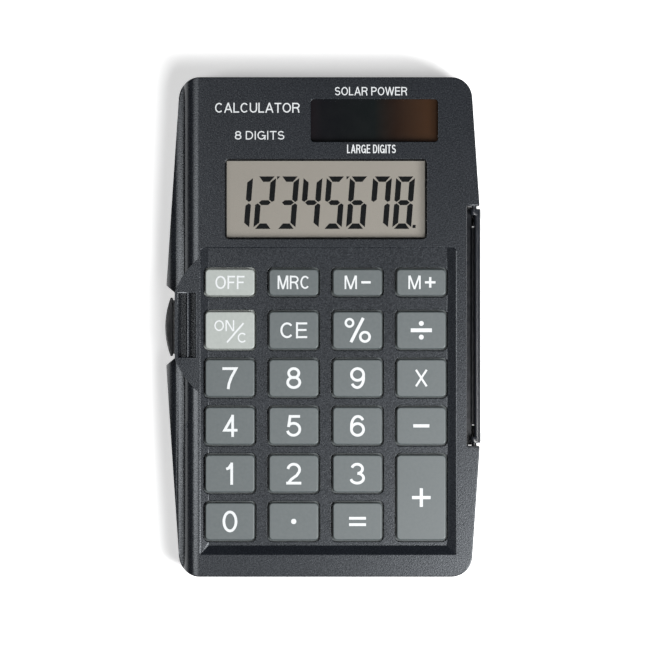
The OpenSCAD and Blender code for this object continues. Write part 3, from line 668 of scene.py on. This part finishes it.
# In mm
DIGIT_W, DIGIT_H, DIGIT_PITCH = 4.45, 12.4, 5.47
STROKE, GAP = 1.28, 0.16  # of one segment, and between segments
TIP = 0.25  # the outer segments' ends are cut back by this
MARGIN_RIGHT, MARGIN_LOW = 3.75, 3.42  # last digit's corners from the pane's edges
TICK = (0.28, 0.65, 0.75)  # mark at a digit's upper right: how far off, its width and height
POINT_OFF, POINT_LOW, POINT = 0.3, 0.2, 0.75  # decimal point: how far off, how high, its side
# Painted shade: the black line below stands for the dark wall of the display opening.
EDGE_SHADE_WIDTH = 0.42  # black line inside the display opening
TUCK = 0.25  # how far that line runs on under the housing

SLANT = math.tan(math.radians(4.5))
INK_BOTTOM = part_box("lcd_polariser")[1].z - 0.004 * MM
INK_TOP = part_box("lcd_polariser")[1].z + 0.02 * MM
TICKED = (1, 4)  # places in the number that carry a mark
DIGITS = ["bc", "abged", "abgcd", "fgbc", "afgcd", "afgecd", "fabc", "abcdefg"]


def segment_outlines():
    """Outlines of the seven segments in mm, anticlockwise, from the digit's lower left corner."""
    w, h, t, g = DIGIT_W, DIGIT_H, STROKE, GAP
    m = h / 2
    top = [(g + TIP, h), (g + t, h - t), (w - g - t, h - t), (w - g - TIP, h)]
    left = [(0, h - g - TIP), (0, m + g + 0.35), (t * 0.45, m + g)]
    left += [(t, m + g + t * 0.45), (t, h - g - t)]
    middle = [(g + t * 0.5, m), (g + t, m - t * 0.45), (w - g - t, m - t * 0.45)]
    middle += [(w - g - t * 0.5, m), (w - g - t, m + t * 0.45), (g + t, m + t * 0.45)]

    def flip_x(points):
        return [(w - x, y) for x, y in reversed(points)]

    def flip_y(points):
        return [(x, h - y) for x, y in reversed(points)]

    return {
        "a": top,
        "d": flip_y(top),
        "f": left,
        "b": flip_x(left),
        "e": flip_y(left),
        "c": flip_x(flip_y(left)),
        "g": middle,
    }


def display():
    right = pane_hi.x - MARGIN_RIGHT * MM
    low = pane_lo.y + MARGIN_LOW * MM
    shapes = segment_outlines()
    bm = bmesh.new()

    def place(points, offset):
        """One flat shape, in mm from the corner of the digit that lies offset from the last."""
        flat = []
        for x, y in points:
            across = x - DIGIT_W + offset + SLANT * (y - DIGIT_H)
            flat.append((right + across * MM, low + y * MM))
        prism(bm, flat, INK_BOTTOM, INK_TOP)

    for i, lit in enumerate(DIGITS):
        offset = (i - len(DIGITS) + 1) * DIGIT_PITCH
        for s in lit:
            place(shapes[s], offset)
        if i in TICKED:
            x = DIGIT_W + TICK[0]
            place([(x, DIGIT_H - TICK[2]), (x + TICK[1], DIGIT_H), (x - 0.1, DIGIT_H)], offset)
    x0, y0 = DIGIT_W + POINT_OFF, POINT_LOW
    x1, y1 = x0 + POINT, y0 + POINT
    place([(x0, y0), (x1, y0), (x1, y1), (x0, y1)], 0)
    add_piece("display_digits", bm, MATERIALS["lcd_ink"], body_name)


def display_border():
    """Painted shade: a black line inside the display opening, along the edge where its wall shows
    dark, in four straight pieces.
    """
    rim = [p for p in face_points if inside(p, pane_lo, pane_hi)]
    x0, x1 = min(p.x for p in rim), max(p.x for p in rim)
    y0, y1 = min(p.y for p in rim), max(p.y for p in rim)
    out, into = TUCK * MM, EDGE_SHADE_WIDTH * MM
    bm = bmesh.new()
    for (ax, ay), (bx, by) in (
        ((x0 - out, y0 - out), (x0 + into, y1 + out)),
        ((x1 - into, y0 - out), (x1 + out, y1 + out)),
        ((x0 + into, y1 - into), (x1 - into, y1 + out)),
        ((x0 + into, y0 - out), (x1 - into, y0 + into)),
    ):
        prism(bm, [(ax, ay), (bx, ay), (bx, by), (ax, by)], INK_BOTTOM, INK_TOP)
    add_piece("display_border", bm, MATERIALS["lcd_ink"], body_name)


display()
display_border()

# ---------------------------------------------------------------- nodes kept as the CAD has them

MATERIALS["solar"] = solar_material(sun_lo, sun_hi)
slots = {part["node"]: part["material_slot"] for part in frame["record"]["subparts"]}
for node, obj in nodes.items():
    if not obj.hide_render:
        paint(obj, MATERIALS[slots[node]])

# ---------------------------------------------------------------- studio


FLOOR_HALF = 1.5  # metres
FLOOR_GLOW = 0.38
WORLD = 0.02
LIGHTS = {  # place, size and power; all aim at the origin
    "key": ((0.36, -0.20, 0.34), (0.20, 0.20), 2.8),
    "near": ((0.14, -0.11, 0.40), (0.16, 0.16), 1.5),
    "side": ((-0.36, -0.03, 0.78), (0.14, 0.5), 2.3),
}
LENS, SENSOR = 281.6, 36  # mm
CAMERA_HEIGHT = 1.2  # metres over the face
OFF_CENTRE = (0.44, 0.47)  # mm, the camera's place over the model


def area_light(name, place, size, watts):
    lamp = bpy.data.lights.new(name, "AREA")
    lamp.shape = "RECTANGLE"
    lamp.size, lamp.size_y = size
    lamp.energy = watts
    obj = bpy.data.objects.new(name, lamp)
    bpy.context.scene.collection.objects.link(obj)
    obj.location = place
    obj.rotation_euler = (-Vector(place)).to_track_quat("-Z", "Y").to_euler()


def floor():
    mat, tree, shader = blank("floor")
    tone = object_noise(tree, 3.0, 2.0)
    colour = two_tone(tree, tone, (0.90, 0.90, 0.90), (0.93, 0.93, 0.93))
    link(tree, colour, shader.inputs["Base Color"])
    shader.inputs["Roughness"].default_value = 0.8
    shader.inputs["Emission Color"].default_value = (1, 1, 1, 1)
    shader.inputs["Emission Strength"].default_value = FLOOR_GLOW
    bm = bmesh.new()
    bmesh.ops.create_grid(bm, x_segments=4, y_segments=4, size=FLOOR_HALF)
    mesh = bpy.data.meshes.new("floor")
    bm.to_mesh(mesh)
    bm.free()
    obj = bpy.data.objects.new("floor", mesh)
    obj.location = (0, 0, min(cad_lo.z, 0) - 0.1 * MM)
    bpy.context.scene.collection.objects.link(obj)
    paint(obj, mat)


def studio():
    floor()
    world = bpy.data.worlds.new("studio")
    world.use_nodes = True
    background = next(n for n in world.node_tree.nodes if n.type == "BACKGROUND")
    background.inputs["Color"].default_value = (0.95, 0.97, 1.0, 1)
    background.inputs["Strength"].default_value = WORLD
    bpy.context.scene.world = world
    for name, (place, size, watts) in LIGHTS.items():
        area_light(name, place, size, watts)


def camera():
    data = bpy.data.cameras.new("camera")
    data.lens = LENS
    data.sensor_width = SENSOR
    data.clip_start, data.clip_end = 0.01, 10
    obj = bpy.data.objects.new("camera", data)
    middle = (cad_lo + cad_hi) / 2
    dx, dy = (v * MM for v in OFF_CENTRE)
    obj.location = (middle.x + dx, middle.y + dy, face_z + CAMERA_HEIGHT)
    bpy.context.scene.collection.objects.link(obj)
    bpy.context.scene.camera = obj


studio()
camera()
bpy.context.scene.view_settings.view_transform = "Standard"
